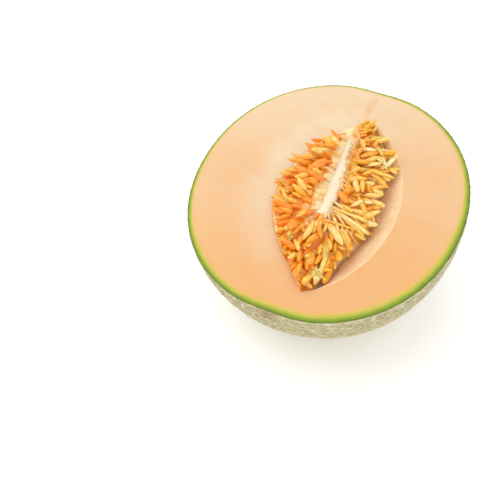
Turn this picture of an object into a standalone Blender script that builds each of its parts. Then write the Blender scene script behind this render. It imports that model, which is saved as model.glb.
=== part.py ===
"""Half a muskmelon, cut from stem end to blossom end, lying on its skin with the seeds showing.

Everything is modelled in the frame of the cut face and then leant towards the front:
x runs across the face, y along the melon's own axis to the stem end, z out of the face.
"""

import math
import random

import bmesh
import bpy
from mathutils import Matrix, Vector, noise

# Driving dimensions, in metres
HALF_WIDTH = 0.075  # of the cut face, out to the crests of the net
HALF_LENGTH = 1.05 * HALF_WIDTH  # centre to either end
DEPTH = 0.93 * HALF_WIDTH  # from the cut face to the back of the skin
FULLNESS = 2.08  # exponent of the outline: 2 is an ellipse, more is fuller shoulders
LEAN = math.radians(13)  # how far the cut face leans towards the front
GAP = 0.0003  # clearance between neighbouring pieces

# Resting spot
REST_CUT = 0.002  # how much of the skin's underside the flat spot takes off

# Skin
RIND_THICKNESS = 0.0036  # green layer, without the net
NET_HEIGHT = 0.0011
NET_HALF_CORD = 0.0010  # crest to foot of one cord of the net
NET_CELLS = 800  # on a whole melon
NET_WANDER = 0.55  # how unevenly the cells lie, as a share of their size
SHORTEST_CORD = 0.0024  # corners nearer than this become one
NET_SEED = 7

# Ends of the melon
SCAR_RADIUS = 0.0085  # corky ring where the stem came away
SCAR_CORD = 0.0013  # half thickness of either ring
SCAR_SINK = 0.3  # how deep a ring sits in the skin, as a share of its half thickness
BUTTON_RADIUS = 0.0060  # corky button at the blossom end
END_DISH = 0.0014  # how deep the skin sinks at either end
END_REACH = 0.20  # radians from the end to where the dish has faded

# Seed cavity, an almond in the cut face
CAVITY_CENTRE = Vector((0.0062, -0.0025, 0))
CAVITY_TURN = math.radians(4.6)  # its long axis, anticlockwise from the melon's
CAVITY_HALF_LENGTH = 0.058
CAVITY_HALF_WIDTH = 0.0336
CAVITY_DEPTH = 0.025
CAVITY_POINTS = (0.94, 0.71)  # exponents of its left and right sides: 0.5 is an ellipse, more is pointed
CAVITY_LOW_POINT = 1.2  # exponent of the left side's lower half
CAVITY_FLOOR = 0.62  # exponent of the floor's rise towards the almond's tips
WALL_SLOPE = 1.4  # exponent of the right wall, which slopes where the left one drops

# Placenta: the cream ridge down the middle, from its upper tip to its lower end
RIDGE_LINE = [(-0.0042, 0.045), (-0.0031, 0.035), (-0.0003, 0.016), (0.0017, 0.000), (0.0012, -0.012)]
RIDGE_HALF_WIDTHS = [0.0009, 0.0023, 0.0032, 0.0036, 0.0050]
RIDGE_TIPS = (0.002, 0.004)  # how far it runs on past the line, above and below
RIDGE_TOP = 0.0005
RIDGE_BOTTOM = -0.0045
RIDGE_LUMPS = 0.22  # how much its width swells and shrinks
LUMPS_PER_METRE = 180
RIDGE_ROOM = 1 + RIDGE_LUMPS

# Pulp: heights are from the cut face
PULP_LEFT = -0.0010  # along the left edge
PULP_MIDDLE = -0.0034  # beside the ridge
PULP_CROWN = 0.0036  # how far it swells up between the ridge and the left edge
PULP_RIGHT_TOP = -0.0045  # along the right side, in the upper half
PULP_RIGHT_LOW = -0.0095  # along the right side, in the lower half, where the wall shows
PULP_STEP = (-0.6, 0.5)  # where along the cavity the right side changes from low to high
PULP_GAP = 1.5 * GAP  # between the pulp and the cavity's wall
PULP_TIP = 0.985  # share of the cavity's half length that the pulp fills
PULP_TIP_HEIGHT = -0.002
PULP_THIN = 0.8  # the top never sinks below this share of the cavity's depth
REACH = (0.46, 0.64, 0.88)  # how far right the seeds go, in half widths: low, in the middle, high
REACH_STEPS = ((-0.50, -0.20), (0.25, 0.60))  # where along the cavity the reach changes

# Seeds
SEED_LENGTH = 0.0112
SEED_WIDTH = 0.0054
SEED_THICKNESS = 0.0041
SEED_PROFILE = [(0.08, 0.58), (0.36, 1.0), (0.70, 0.80)]  # (share of length, share of girth)
SEED_ROOT = -0.06  # where the blunt end closes, as a share of the length
SEED_SIDES = 5
SEED_SPACING = 0.0061
ROW_SPACING = 0.87 * SEED_SPACING
SEED_SCATTER = 0.18  # how far a seed strays from its place, as a share of the spacing
SEED_SIZES = (0.80, 1.14)
SMALLEST_SEED = 0.6  # share of the full size under which a seed is left out
NARROWEST = 0.003  # half width of the cavity under which it holds no more seeds
SEED_EDGES = (-0.90, 0.15)  # the left limit, and the margin kept inside the right reach
ROOT_ROOM = 0.32  # room for a seed's root beside the ridge, as a share of its width
ROOTED = 0.36  # share of a seed's length that lies behind its place
SEED_LIFT = 0.22 * SEED_THICKNESS
FAN_SPREAD = 0.22  # how much a seed's direction strays across the fan
FAN_DROOP = (0.06, 0.50)  # how much its free end leans to the blossom end
RISE_LEFT = 0.50  # slope of the seeds at the left edge
RISE_RIGHT = 0.12
RISE_STEP = (-0.9, 0.5)  # where across the cavity the slope changes
RISE_SCATTER = (-0.16, 0.24)
SEED_ROLL = 0.9  # radians either way
NUDGE = 0.0004  # step by which a seed moves clear of the ridge
TIP_UP = 0.10  # step in slope by which it is raised clear of the flesh
STEEPEST = 0.6  # share of a seed's length that may point straight out of the face
SHRINK = 0.94  # step in size by which it is made smaller where raising it isn't enough
TRIED_AT = (0.15, 0.4, 0.6, 0.8, 1.0)  # shares of a seed's length where its clearance is tried
TAPER = (1.1, 1.05)  # a seed's half girth there: this slope, to nothing at this share
WALL_ROOM = 3 * GAP  # kept between a seed and the cavity's wall
SEED_SEED = 11

# Mesh fineness
TURN_STEPS = 32
LENGTH_STEPS = 22
BACK_STEPS = 720  # places tried for the lowest point of the skin
CAVITY_RINGS = 15
CAVITY_SIDES = 26
RIDGE_STEPS = 13
RIDGE_SIDES = 8
RING_STEPS = 20
RING_SIDES = 6


def clear_scene():
    for thing in list(bpy.data.objects):
        bpy.data.objects.remove(thing)


def finish_material(name, colour, roughness):
    material = bpy.data.materials.new(name)
    material.use_nodes = True
    shader = material.node_tree.nodes["Principled BSDF"]
    shader.inputs["Base Color"].default_value = (*colour, 1)
    shader.inputs["Roughness"].default_value = roughness
    shader.inputs["Metallic"].default_value = 0
    return material


def add_object(name, mesh_builder, collection=None):
    mesh = bpy.data.meshes.new(name)
    bmesh.ops.recalc_face_normals(mesh_builder, faces=mesh_builder.faces[:])
    mesh_builder.to_mesh(mesh)
    mesh_builder.free()
    made = bpy.data.objects.new(name, mesh)
    (collection or bpy.context.scene.collection).objects.link(made)
    return made


def make_cutter(cutter):
    cutter.hide_render = True
    cutter.display_type = "WIRE"
    return cutter


def boolean(target, other, operation):
    modifier = target.modifiers.new(other.name, "BOOLEAN")
    modifier.operation = operation
    modifier.object = other


def apply_modifiers(target):
    graph = bpy.context.evaluated_depsgraph_get()
    shaped = bpy.data.meshes.new_from_object(target.evaluated_get(graph))
    target.modifiers.clear()
    target.data = shaped


def ease(value, span=(0, 1)):
    """0 below the span, 1 above it, and a smooth step between."""
    share = min(max((value - span[0]) / (span[1] - span[0]), 0), 1)
    return share * share * (3 - 2 * share)


def mix(low, high, share):
    return low + (high - low) * share


def skin_reach(way, inset=0.0):
    """Distance from the centre of the cut face to the skin in the direction way."""
    girth = math.hypot(way.x, way.z * HALF_WIDTH / DEPTH) / (HALF_WIDTH - inset)
    length = abs(way.y) / (HALF_LENGTH - inset)
    reach = (girth**FULLNESS + length**FULLNESS) ** (-1 / FULLNESS)
    from_end = math.acos(min(abs(way.y), 1.0))
    return reach - END_DISH * math.exp(-((from_end / END_REACH) ** 2))


def body(name, inset):
    """A whole melon, smooth, with its skin moved in by inset."""
    shape = bmesh.new()
    bmesh.ops.create_uvsphere(shape, u_segments=TURN_STEPS, v_segments=LENGTH_STEPS, radius=1)
    half_step = Matrix.Rotation(math.pi / TURN_STEPS, 3, "Y") @ Matrix.Rotation(math.pi / 2, 3, "X")
    for vertex in shape.verts:
        way = (half_step @ vertex.co).normalized()
        vertex.co = way * skin_reach(way, inset)
    return add_object(name, shape)


def spread_directions(count, wander, draw):
    """Directions spread evenly by the golden angle, each moved a little at random."""
    golden = math.pi * (3 - math.sqrt(5))
    nudge = wander * math.sqrt(4 * math.pi / count)
    ways = []
    for i in range(count):
        y = 1 - 2 * (i + 0.5) / count
        ring = math.sqrt(1 - y * y)
        way = Vector((ring * math.cos(i * golden), y, ring * math.sin(i * golden)))
        shift = Vector((draw.uniform(-1, 1), draw.uniform(-1, 1), draw.uniform(-1, 1)))
        ways.append((way + 0.5 * nudge * shift).normalized())
    return ways


def cells_around(ways):
    """The cell round each direction: one vertex for each triangle between three neighbours."""
    hull = bmesh.new()
    for way in ways:
        hull.verts.new(way)
    bmesh.ops.convex_hull(hull, input=hull.verts[:])
    hull.faces.index_update()
    cells = bmesh.new()
    corners = [cells.verts.new(face.calc_center_median().normalized()) for face in hull.faces]
    for centre in hull.verts:
        outward = centre.co.normalized()
        side = outward.orthogonal().normalized()
        across = outward.cross(side)
        around = sorted(
            centre.link_faces,
            key=lambda face: math.atan2(
                corners[face.index].co.dot(across), corners[face.index].co.dot(side)
            ),
        )
        if len(around) > 2:
            cells.faces.new([corners[face.index] for face in around])
    hull.free()
    return cells


def netted_body():
    """A whole melon whose skin is sunk between the cords of the net."""
    draw = random.Random(NET_SEED)
    net = cells_around(spread_directions(NET_CELLS, NET_WANDER, draw))
    for vertex in net.verts:
        way = vertex.co.normalized()
        vertex.co = way * skin_reach(way)
    bmesh.ops.remove_doubles(net, verts=net.verts[:], dist=SHORTEST_CORD)
    bmesh.ops.recalc_face_normals(net, faces=net.faces[:])
    bmesh.ops.inset_individual(
        net, faces=net.faces[:], thickness=NET_HALF_CORD, depth=-NET_HEIGHT, use_even_offset=True
    )
    bmesh.ops.triangulate(net, faces=net.faces[:])
    return add_object("rind", net)


def end_ring(name, end, radius):
    """A corky ring round the end of the melon, standing a little out of the skin."""
    mark = bmesh.new()
    height = end * (skin_reach(Vector((0, 1, 0))) - SCAR_SINK * SCAR_CORD)
    rings = []
    for i in range(RING_STEPS):
        turn = 2 * math.pi * (i + 0.5) / RING_STEPS
        way = Vector((math.cos(turn), 0, math.sin(turn) * DEPTH / HALF_WIDTH))
        ring = []
        for j in range(RING_SIDES):
            lift = 2 * math.pi * j / RING_SIDES
            out = radius + SCAR_CORD * math.cos(lift)
            ring.append(mark.verts.new(way * out + Vector((0, height + SCAR_CORD * math.sin(lift), 0))))
        rings.append(ring)
    for i, ring in enumerate(rings):
        following = rings[(i + 1) % RING_STEPS]
        for j in range(RING_SIDES):
            k = (j + 1) % RING_SIDES
            mark.faces.new([ring[j], following[j], following[k], ring[k]])
    bmesh.ops.triangulate(mark, faces=mark.faces[:])
    return make_cutter(add_object(name, mark))


def block(name, centre, size):
    shape = bmesh.new()
    bmesh.ops.create_cube(shape, size=1, matrix=Matrix.Translation(centre) @ Matrix.Diagonal((*size, 1)))
    return make_cutter(add_object(name, shape))


def cavity_point(along, across, height):
    """From the cavity's own length, side and height to the frame of the cut face."""
    turned = Matrix.Rotation(CAVITY_TURN, 3, "Z") @ Vector((across, along * CAVITY_HALF_LENGTH, height))
    return CAVITY_CENTRE + turned


def cavity_half_width(along, side):
    """From the middle line out to the edge, on the left where side is negative and else on the right."""
    point = CAVITY_POINTS[0] if side < 0 else CAVITY_POINTS[1]
    if side < 0 and along < 0:
        point = CAVITY_LOW_POINT
    return CAVITY_HALF_WIDTH * max(1 - along * along, 0) ** point


def cavity_depth(along):
    return CAVITY_DEPTH * max(1 - along * along, 0) ** CAVITY_FLOOR


def cavity_drop(across):
    """Share of the depth down to the wall; across runs from -1 at the left edge to 1 at the right."""
    if across < 0:
        return math.sqrt(max(1 - across * across, 0))
    return 1 - min(across, 1) ** WALL_SLOPE


def wall_across(side, sunk):
    """How far out the wall is at a share of the depth, as a share of the half width."""
    sunk = min(max(sunk, 0), 1)
    if side < 0:
        return math.sqrt(1 - sunk * sunk)
    return (1 - sunk) ** (1 / WALL_SLOPE)


def loft(shape, rings, tip_a, tip_b):
    """Closed skin over rings of equal length, drawn to a point at both ends."""
    loops = [[shape.verts.new(point) for point in ring] for ring in rings]
    count = len(loops[0])
    for first, second in zip(loops, loops[1:]):
        for j in range(count):
            k = (j + 1) % count
            shape.faces.new([first[j], first[k], second[k], second[j]])
    for loop, tip in ((loops[0], tip_a), (loops[-1], tip_b)):
        end = shape.verts.new(tip)
        for j in range(count):
            shape.faces.new([loop[j], loop[(j + 1) % count], end])
    bmesh.ops.triangulate(shape, faces=shape.faces[:])


def ring_steps():
    """Places of the rings along the cavity, closer together towards its two tips."""
    return [-math.cos(math.pi * (i + 1) / (CAVITY_RINGS + 1)) for i in range(CAVITY_RINGS)]


def cavity_spindle():
    shape = bmesh.new()
    rings = []
    for along in ring_steps():
        ring = []
        for j in range(CAVITY_SIDES):
            turn = 2 * math.pi * (j + 0.5) / CAVITY_SIDES
            across = math.cos(turn)
            height = math.sin(turn) if j < CAVITY_SIDES // 2 else -cavity_drop(across)
            side = cavity_half_width(along, across) * across
            ring.append(cavity_point(along, side, cavity_depth(along) * height))
        rings.append(ring)
    loft(shape, rings, cavity_point(-1, 0, 0), cavity_point(1, 0, 0))
    return make_cutter(add_object("cavity", shape))


def right_limit(along):
    """How far to the right the seeds reach, as a share of the cavity's half width."""
    low, middle, high = REACH
    return low + (middle - low) * ease(along, REACH_STEPS[0]) + (high - middle) * ease(along, REACH_STEPS[1])


def pulp_height(along, across):
    """Height of the pulp's top; across runs from -1 at the left wall to 1 at the right."""
    if across < 0:
        return mix(PULP_MIDDLE, PULP_LEFT, -across) + PULP_CROWN * math.sin(math.pi * min(-across, 1))
    right = mix(PULP_RIGHT_LOW, PULP_RIGHT_TOP, ease(along, PULP_STEP))
    return mix(PULP_MIDDLE, right, ease(across / right_limit(along)))


def pulp_spot(along, across, height):
    return cavity_point(along, (cavity_half_width(along, across) - PULP_GAP) * across, height)


def pulp_core():
    """The bed of pulp: it fills the cavity to the left wall and stops short of the right one."""
    shape = bmesh.new()
    rings = []
    half = CAVITY_SIDES // 2
    for along in ring_steps():
        depth = cavity_depth(along) - PULP_GAP
        limit = right_limit(along)
        left = -wall_across(-1, -PULP_LEFT / depth)
        right = min(limit, wall_across(1, -pulp_height(along, limit) / depth))
        ring = []
        for j in range(half):
            across = math.cos(mix(math.acos(left), math.acos(right), j / (half - 1)))
            ring.append(pulp_spot(along, across, -depth * cavity_drop(across)))
        for j in range(1, half):
            across = mix(right, left, j / half)
            floor = -PULP_THIN * depth * cavity_drop(across)
            ring.append(pulp_spot(along, across, max(pulp_height(along, across), floor)))
        rings.append(ring)
    tips = [cavity_point(end * PULP_TIP, 0, PULP_TIP_HEIGHT) for end in (-1, 1)]
    loft(shape, rings, *tips)
    return add_object("seeds", shape)


def ridge_at(share):
    """Centre and half width of the ridge, share of the way from its upper tip."""
    place = share * (len(RIDGE_LINE) - 1)
    i = min(int(place), len(RIDGE_LINE) - 2)
    within = ease(place - i)
    x = mix(RIDGE_LINE[i][0], RIDGE_LINE[i + 1][0], within)
    y = mix(RIDGE_LINE[i][1], RIDGE_LINE[i + 1][1], place - i)
    return Vector((x, y, 0)), mix(RIDGE_HALF_WIDTHS[i], RIDGE_HALF_WIDTHS[i + 1], within)


def ridge(name, swell):
    """The placenta, grown by swell all round."""
    shape = bmesh.new()
    middle = Vector((0, 0, 0.5 * (RIDGE_TOP + RIDGE_BOTTOM)))
    tall = 0.5 * (RIDGE_TOP - RIDGE_BOTTOM) + swell
    rings = []
    for i in range(RIDGE_STEPS):
        centre, half_width = ridge_at(i / (RIDGE_STEPS - 1))
        wide = half_width * (1 + RIDGE_LUMPS * noise.noise(centre * LUMPS_PER_METRE)) + swell
        ring = []
        for j in range(RIDGE_SIDES):
            turn = 2 * math.pi * (j + 0.5) / RIDGE_SIDES
            ring.append(centre + middle + Vector((wide * math.cos(turn), 0, tall * math.sin(turn))))
        rings.append(ring)
    upper = ridge_at(0)[0] + middle + Vector((0, RIDGE_TIPS[0] + swell, 0))
    lower = ridge_at(1)[0] + middle - Vector((0, RIDGE_TIPS[1] + swell, 0))
    loft(shape, rings, upper, lower)
    return add_object(name, shape)


def seed_size(share):
    return SEED_LENGTH * share, SEED_WIDTH * share, SEED_THICKNESS * share


def seed_shape(length, width, thickness):
    """A teardrop along +x: blunt where it is rooted, pointed at its free end."""
    shape = bmesh.new()
    rings = []
    for along, girth in SEED_PROFILE:
        ring = []
        for j in range(SEED_SIDES):
            turn = 2 * math.pi * j / SEED_SIDES
            side = 0.5 * girth * width * math.cos(turn)
            ring.append(Vector((along * length, side, 0.5 * girth * thickness * math.sin(turn))))
        rings.append(ring)
    loft(shape, rings, Vector((SEED_ROOT * length, 0, 0)), Vector((length, 0, 0)))
    return shape


def nearest_on_ridge(point):
    """Centre and half width of the ridge where it comes nearest to the point."""
    found = [ridge_at(i / (2 * RIDGE_STEPS)) for i in range(2 * RIDGE_STEPS + 1)]
    return min(found, key=lambda place: (place[0] - point).length)


def seed_at(along, side, draw):
    """(root, direction, roll, share of full size) of the seed at a place in the cavity."""
    across = side / cavity_half_width(along, side)
    spot = cavity_point(along, side, 0)
    outward = (spot - nearest_on_ridge(spot)[0]).normalized()
    outward += Vector((draw.uniform(-FAN_SPREAD, FAN_SPREAD), -draw.uniform(*FAN_DROOP), 0))
    outward.normalize()
    outward.z = mix(RISE_LEFT, RISE_RIGHT, ease(across, RISE_STEP)) + draw.uniform(*RISE_SCATTER)
    outward.normalize()
    root = cavity_point(along, side, pulp_height(along, across) + SEED_LIFT)
    roll = draw.uniform(-SEED_ROLL, SEED_ROLL)
    return root - ROOTED * SEED_LENGTH * outward, outward, roll, draw.uniform(*SEED_SIZES)


def seed_places():
    """A staggered grid of seeds over the pulp, fanning out from the ridge."""
    draw = random.Random(SEED_SEED)
    stray = SEED_SCATTER * SEED_SPACING
    rows = round(2 * CAVITY_HALF_LENGTH / ROW_SPACING)
    columns = round(2 * CAVITY_HALF_WIDTH / SEED_SPACING)
    places = []
    for row in range(rows + 1):
        for column in range(columns + 2):
            along = PULP_TIP * (2 * row / rows - 1) + draw.uniform(-stray, stray) / CAVITY_HALF_LENGTH
            side = (column + 0.5 * (row % 2) - 0.5 * columns) * SEED_SPACING + draw.uniform(-stray, stray)
            width = cavity_half_width(along, side)
            if width < NARROWEST or not SEED_EDGES[0] < side / width < right_limit(along) - SEED_EDGES[1]:
                continue
            spot = cavity_point(along, side, 0)
            centre, half_width = nearest_on_ridge(spot)
            if (spot - centre).length > RIDGE_ROOM * half_width + ROOT_ROOM * SEED_WIDTH:
                places.append(seed_at(along, side, draw))
    return places


def clear_of_ridge(root, width):
    """Whether a seed's root is beside the ridge and not in it."""
    centre, half_width = nearest_on_ridge(root)
    away = root - centre
    return math.hypot(away.x, away.y) > RIDGE_ROOM * half_width + ROOT_ROOM * width + GAP


def clear_of_flesh(root, outward, length, width, thickness):
    """Whether a seed stays inside the cavity, or above the cut face where it reaches over it."""
    for share in TRIED_AT:
        girth = min(0.5, TAPER[0] * (TAPER[1] - share))
        point = root + outward * length * share
        local = Matrix.Rotation(-CAVITY_TURN, 3, "Z") @ (point - CAVITY_CENTRE)
        along = local.y / CAVITY_HALF_LENGTH
        low = min(local.z - girth * thickness - GAP, 0)
        out = wall_across(local.x, -low / max(cavity_depth(along), GAP))
        room = cavity_half_width(along, local.x) * out - girth * width - WALL_ROOM
        if low < 0 and abs(local.x) > room:
            return False
    return True


def loose_seeds(collection):
    for root, outward, roll, size in seed_places():
        step = NUDGE * Vector((outward.x, outward.y, 0)).normalized()
        while not clear_of_ridge(root, SEED_WIDTH * size):
            root = root + step
        while not clear_of_flesh(root, outward, *seed_size(size)) and outward.z < STEEPEST:
            outward = (outward + Vector((0, 0, TIP_UP))).normalized()
        while size > SMALLEST_SEED and not clear_of_flesh(root, outward, *seed_size(size)):
            size *= SHRINK
        if size > SMALLEST_SEED:
            seed = add_object("seed", seed_shape(*seed_size(size)), collection)
            turn = outward.to_track_quat("X", "Z").to_matrix().to_4x4() @ Matrix.Rotation(roll, 4, "X")
            seed.data.transform(Matrix.Translation(root) @ turn)


def seed_mass():
    """Pulp and seeds in one body, with a groove for the ridge."""
    mass = pulp_core()
    groove = make_cutter(ridge("groove", GAP))
    boolean(mass, groove, "DIFFERENCE")
    apply_modifiers(mass)
    bpy.data.objects.remove(groove)
    loose = bpy.data.collections.new("loose seeds")
    bpy.context.scene.collection.children.link(loose)
    loose_seeds(loose)
    union = mass.modifiers.new("union", "BOOLEAN")
    union.operation = "UNION"
    union.operand_type = "COLLECTION"
    union.collection = loose
    apply_modifiers(mass)
    for seed in list(loose.objects):
        bpy.data.objects.remove(seed)
    bpy.data.collections.remove(loose)
    return mass


def placement():
    """Leans the cut face and sets the middle of the flat spot at the origin."""
    lean = Matrix.Rotation(LEAN, 4, "X")
    back = []
    for i in range(BACK_STEPS):
        turn = math.pi * i / BACK_STEPS
        way = Vector((0, math.cos(turn), -math.sin(turn)))
        back.append(lean @ (way * skin_reach(way)))
    lowest = min(back, key=lambda point: point.z)
    return Matrix.Translation((0, -lowest.y, -lowest.z - REST_CUT)) @ lean


def make_rind(air, table):
    rind = netted_body()
    hollow = make_cutter(body("inside of rind", RIND_THICKNESS + NET_HEIGHT))
    rings = [end_ring("stem scar", 1, SCAR_RADIUS), end_ring("blossom button", -1, BUTTON_RADIUS)]
    for ring in rings:
        boolean(rind, ring, "UNION")
    for cutter in (hollow, air, table):
        boolean(rind, cutter, "DIFFERENCE")
    rind.data.materials.append(finish_material("rind", (0.42, 0.43, 0.24), 0.75))
    return [rind, hollow, *rings]


def make_flesh(air):
    flesh = body("flesh", RIND_THICKNESS + NET_HEIGHT + GAP)
    cavity = cavity_spindle()
    for cutter in (cavity, air):
        boolean(flesh, cutter, "DIFFERENCE")
    flesh.data.materials.append(finish_material("flesh", (0.95, 0.55, 0.28), 0.40))
    flesh.data.shade_smooth()
    return [flesh, cavity]


def make_seeds():
    seeds = seed_mass()
    seeds.data.materials.append(finish_material("seeds", (0.90, 0.48, 0.12), 0.35))
    seeds.data.shade_smooth()
    return [seeds]


def make_placenta():
    placenta = ridge("placenta", 0)
    placenta.data.materials.append(finish_material("placenta", (0.95, 0.82, 0.62), 0.50))
    placenta.data.shade_smooth()
    return [placenta]


def main():
    clear_scene()
    span = 4 * HALF_WIDTH
    air = block("above the cut", (0, 0, 0.5 * span), (span, span, span))
    table = block("below the spot", (0, 0, -0.5 * span), (span, span, span))
    placed = placement()
    pieces = [air, *make_rind(air, table), *make_flesh(air), *make_seeds(), *make_placenta()]
    for piece in pieces:
        piece.matrix_world = placed


main()
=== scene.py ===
import random
from itertools import product
from math import acos, cos, exp, pi, radians, sin, sqrt

import bmesh
import bpy
import numpy as np
from mathutils import Matrix, Vector, kdtree, noise


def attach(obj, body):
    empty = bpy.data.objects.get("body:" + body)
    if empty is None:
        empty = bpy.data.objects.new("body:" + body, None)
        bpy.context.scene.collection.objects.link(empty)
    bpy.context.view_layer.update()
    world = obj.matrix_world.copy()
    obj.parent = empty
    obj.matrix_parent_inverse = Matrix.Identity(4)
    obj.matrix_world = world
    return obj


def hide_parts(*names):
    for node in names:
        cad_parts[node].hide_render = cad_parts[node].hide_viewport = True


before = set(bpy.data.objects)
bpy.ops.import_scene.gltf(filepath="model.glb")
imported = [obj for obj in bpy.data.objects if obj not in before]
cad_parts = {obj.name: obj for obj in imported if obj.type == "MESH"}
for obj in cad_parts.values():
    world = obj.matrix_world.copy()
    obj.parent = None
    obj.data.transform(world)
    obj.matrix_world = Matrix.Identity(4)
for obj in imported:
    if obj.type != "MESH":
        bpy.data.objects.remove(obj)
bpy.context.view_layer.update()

# Half a muskmelon on its skin. Shapes are worked out in the frame of the cut face,
# x across it, y to the stem end and z out of it, then leant forward onto the flat spot.

melon = {  # what every piece shares, in metres
    "halfWidth": 0.075,  # out to the crests of the net
    "halfLength": 0.07875,
    "depth": 0.06975,
    "fullness": 2.08,  # exponent of the outline, 2 is an ellipse
    "lean": radians(13),
    "restCut": 0.002,  # how much of the underside the flat spot takes off
    "endDish": 0.0014,  # dip in the skin at either end
    "endReach": 0.20,  # radians over which the dip fades
    "seam": 0.0048,  # depth at which rind turns into flesh
    "clearance": 0.00015,
}

cavity = {  # the almond-shaped hollow
    "centre": Vector((0.0062, -0.0025, 0)),
    "turn": radians(4.6),
    "halfLength": 0.058,
    "halfWidth": 0.0336,
    "depth": 0.025,
    "points": (0.94, 0.71),  # exponents of its left and right sides, more is more pointed
    "lowPoint": 1.2,  # exponent of the left side's lower half
    "floor": 0.62,  # exponent of its floor
    "slope": 1.4,  # exponent of the right wall, which slopes where the left one drops
}

cameraView = {
    "aim": (-0.0192, -0.0492, 0.0686),
    "distance": 0.5115,
    "azimuth": radians(26.9),  # from straight in front, towards +x
    "elevation": radians(45.6),
    "roll": radians(-0.8),
    "lens": 72,
}


# Small sums

def ease(value, low=0.0, high=1.0):
    share = np.clip((value - low) / (high - low), 0, 1)
    eased = share * share * (3 - 2 * share)
    return eased if isinstance(eased, np.ndarray) else float(eased)


def mix(low, high, share):
    return low + (high - low) * share


def skinReach(ways, inset=0.0):  # from the centre of the cut face out to the skin
    girth = np.hypot(ways[:, 0], ways[:, 2] * melon["halfWidth"] / melon["depth"])
    girth = girth / (melon["halfWidth"] - inset)
    length = np.abs(ways[:, 1]) / (melon["halfLength"] - inset)
    reach = (girth ** melon["fullness"] + length ** melon["fullness"]) ** (-1 / melon["fullness"])
    fromEnd = np.arccos(np.minimum(np.abs(ways[:, 1]), 1))
    return reach - melon["endDish"] * np.exp(-((fromEnd / melon["endReach"]) ** 2))


def onSkin(ways, inset=0.0):
    return ways * skinReach(ways, inset)[:, None]


def restPose():
    lean = Matrix.Rotation(melon["lean"], 4, "X")
    turns = np.linspace(0, pi, 720, endpoint=False)
    back = onSkin(np.stack([0 * turns, np.cos(turns), -np.sin(turns)], axis=1))
    back = back @ np.array(lean.to_3x3()).T
    lowest = back[np.argmin(back[:, 2])]
    return Matrix.Translation((0, -lowest[1], -lowest[2] - melon["restCut"])) @ lean


def cavityPoint(along, across, height):
    turned = Matrix.Rotation(cavity["turn"], 3, "Z") @ Vector((across, along * cavity["halfLength"], height))
    return cavity["centre"] + turned


def cavityPlace(point):  # the way back: along, across as a share of the half width, height
    local = Matrix.Rotation(-cavity["turn"], 3, "Z") @ (Vector(point) - cavity["centre"])
    along = local.y / cavity["halfLength"]
    return along, local.x / max(cavityEdge(along, local.x), 1e-5), local.z


def cavityEdge(along, side):  # out to the left edge where side is negative
    point = cavity["points"][0] if side < 0 else cavity["points"][1]
    if side < 0 and along < 0:
        point = cavity["lowPoint"]
    return cavity["halfWidth"] * max(1 - along * along, 0) ** point


def cavityDepth(along):
    return cavity["depth"] * max(1 - along * along, 0) ** cavity["floor"]


def cavityDrop(across):  # share of the depth at a place across, from -1 at the left to 1
    if across < 0:
        return sqrt(max(1 - across * across, 0))
    return 1 - min(across, 1) ** cavity["slope"]


def wallAcross(side, sunk):  # how far out the wall is at that share of the depth
    sunk = min(max(sunk, 0), 1)
    if side < 0:
        return sqrt(1 - sunk * sunk)
    return (1 - sunk) ** (1 / cavity["slope"])


def lumps(points, size, seed=0.0):  # smooth noise from -1 to 1 at each point
    offset = Vector((seed, 2.7 * seed, -1.3 * seed))
    return np.array([noise.noise(Vector(point) / size + offset) for point in points])


def strayed(points, size, amount):  # points moved about by noise
    return points + amount * np.array([noise.noise_vector(Vector(point) / size) for point in points])


def bowl(rimWays, rows, clearance=0.0):  # rings down the seam between rind and flesh, and the lowest point
    rings = []
    for i in range(rows):
        fall = i / rows * pi / 2
        down = rimWays * cos(fall) + np.array([0, 0, -sin(fall)])
        rings.append(onSkin(down, melon["seam"] + (clearance if i else 0)))
    return rings, onSkin(np.array([[0.0, 0.0, -1.0]]), melon["seam"] + clearance)


# Meshes and materials

pose = restPose()


def placed(name, data):
    made = bpy.data.objects.new(name, data)
    bpy.context.scene.collection.objects.link(made)
    return made


def makePiece(name, points, faces, node, looks, layers, sharp=None):
    mesh = bpy.data.meshes.new(name)
    mesh.from_pydata(np.asarray(points).tolist(), [], faces)
    for title, values in layers.items():
        layer = mesh.attributes.new(title, "FLOAT", "POINT")
        layer.data.foreach_set("value", np.asarray(values, dtype=np.float32))
    mesh.transform(pose)
    mesh.shade_smooth()
    if sharp is not None:
        mesh.set_sharp_from_angle(angle=sharp)
    for look in looks:
        mesh.materials.append(look)
    piece = placed(name, mesh)
    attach(piece, "root")
    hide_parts(node)
    return piece


def gridFaces(rows, columns, closed=True, first=0):  # quads between rows of points
    faces = []
    for i in range(rows - 1):
        for j in range(columns if closed else columns - 1):
            k = (j + 1) % columns
            low, high = first + i * columns, first + (i + 1) * columns
            faces.append((low + j, low + k, high + k, high + j))
    return faces


def closedTube(rows, columns, first=0):  # the same, its ends closed onto the two points that follow
    faces = gridFaces(rows, columns, first=first)
    tips = first + rows * columns
    for j in range(columns):
        k = (j + 1) % columns
        faces.append((first + k, first + j, tips))
        faces.append((tips - columns + j, tips - columns + k, tips + 1))
    return faces


def linear(red, green, blue):  # from the 0 to 255 of a colour picker
    picked = np.array([red, green, blue]) / 255
    return (*np.where(picked <= 0.04045, picked / 12.92, ((picked + 0.055) / 1.055) ** 2.4), 1)


def startLook(name, **settings):
    look = bpy.data.materials.new(name)
    look.use_nodes = True
    shader = look.node_tree.nodes["Principled BSDF"]
    for socket, value in settings.items():
        shader.inputs[socket.replace("_", " ")].default_value = value
    return look, look.node_tree, shader


def addNode(tree, kind, inputs=None, **settings):  # inputs are values or output sockets
    made = tree.nodes.new("ShaderNode" + kind)
    for key, value in settings.items():
        setattr(made, key, value)
    for key, value in (inputs or {}).items():
        if isinstance(value, bpy.types.NodeSocket):
            tree.links.new(value, made.inputs[key])
        else:
            made.inputs[key].default_value = value
    return made


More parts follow.
